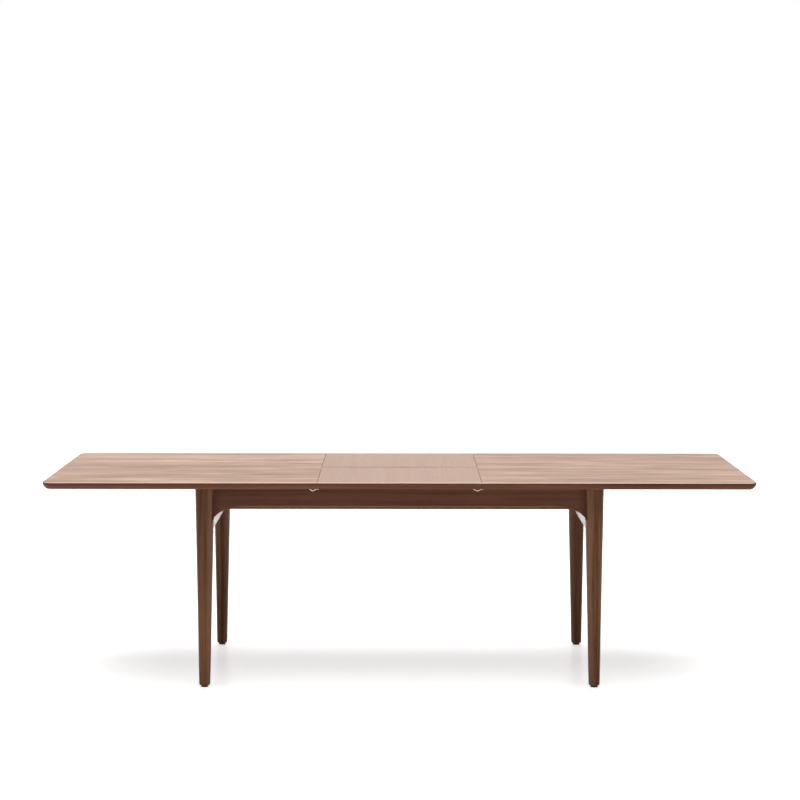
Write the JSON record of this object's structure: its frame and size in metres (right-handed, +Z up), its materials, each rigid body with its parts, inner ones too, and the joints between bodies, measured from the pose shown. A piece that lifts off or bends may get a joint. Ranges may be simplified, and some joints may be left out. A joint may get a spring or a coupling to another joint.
{
  "type": "extending dining table",
  "caption": "Walnut extending dining table on tapered legs, drawn open, with a folding centre leaf on swing arms between two sliding end tops.",
  "frame": {"origin": "on the floor, under the middle of the open table", "axes": "+X along the table to the right end, -Y towards the front, +Z up"},
  "size_m": [2.6, 0.9, 0.762],
  "materials": {
    "walnut": "clear satin lacquer",
    "runner_beech": "waxed",
    "zinc_steel": "zinc plated",
    "seam_steel": "nickel plated",
    "hinge_brass": "dark bronzed",
    "glide_plastic": "matte",
    "pad_rubber": "matte"
  },
  "bodies": {
    "frame": {"leg_front_left": "walnut", "leg_front_right": "walnut", "leg_back_left": "walnut", "leg_back_right": "walnut", "glide_front_left": "glide_plastic", "glide_front_right": "glide_plastic", "glide_back_left": "glide_plastic", "glide_back_right": "glide_plastic", "apron_front": "walnut", "apron_back": "walnut", "end_rail_left": "walnut", "end_rail_right": "walnut", "guide_rail_front": "runner_beech", "guide_rail_back": "runner_beech", "cross_bearer_left": "runner_beech", "cross_bearer_right": "runner_beech", "corner_block_front_left": "runner_beech", "corner_block_front_right": "runner_beech", "corner_block_back_left": "runner_beech", "corner_block_back_right": "runner_beech", "stop_pins": "zinc_steel", "storage_pads": "pad_rubber", "frame_screws": "zinc_steel"},
    "left_end": {"left_top": "walnut", "left_slide_front": "runner_beech", "left_slide_back": "runner_beech", "seam_strap_front": "seam_steel", "seam_strap_back": "seam_steel", "left_top_screws": "zinc_steel"},
    "right_end": {"right_top": "walnut", "right_slide_front": "runner_beech", "right_slide_back": "runner_beech", "seam_tongue_front": "seam_steel", "seam_tongue_back": "seam_steel", "right_top_screws": "zinc_steel"},
    "main_arms": {"main_shaft": "zinc_steel", "main_arm_left": "zinc_steel", "main_arm_right": "zinc_steel"},
    "second_arms": {"second_shaft": "zinc_steel", "second_arm_left": "zinc_steel", "second_arm_right": "zinc_steel"},
    "back_leaf": {"leaf_back": "walnut", "leaf_bracket_left": "zinc_steel", "leaf_bracket_right": "zinc_steel", "hinge_lug_back_left": "hinge_brass", "hinge_lug_back_right": "hinge_brass", "leaf_screws": "zinc_steel"},
    "front_leaf": {"leaf_front": "walnut", "hinge_lug_front_left": "hinge_brass", "hinge_lug_front_right": "hinge_brass"}
  },
  "joints": [
    {"name": "left_top_slide", "type": "slide", "parent": "frame", "child": "left_end", "axis": [-1, 0, 0], "range_m": [0, 0.04]},
    {"name": "right_top_slide", "type": "slide", "parent": "frame", "child": "right_end", "axis": [1, 0, 0], "range_m": [0, 0.04]},
    {"name": "leaf_swing", "type": "hinge", "parent": "frame", "child": "main_arms", "pos_m": [0, -0.03526, 0.66567], "axis": [1, 0, 0], "range_deg": [0, 150]},
    {"name": "second_swing", "type": "hinge", "parent": "frame", "child": "second_arms", "pos_m": [0, 0.11974, 0.66567], "axis": [1, 0, 0], "range_deg": [0, 150]},
    {"name": "leaf_level", "type": "hinge", "parent": "main_arms", "child": "back_leaf", "pos_m": [0, 0.07, 0.7233], "axis": [1, 0, 0], "range_deg": [-150, 0]},
    {"name": "leaf_fold", "type": "hinge", "parent": "back_leaf", "child": "front_leaf", "pos_m": [0, 0, 0.7602], "axis": [-1, 0, 0], "range_deg": [0, 180]}
  ],
  "couplings": [
    {"joint": "second_swing", "follows": "leaf_swing", "ratio": 1},
    {"joint": "leaf_level", "follows": "leaf_swing", "ratio": -1},
    {"joint": "leaf_fold", "follows": "leaf_swing", "ratio": 1.2}
  ]
}
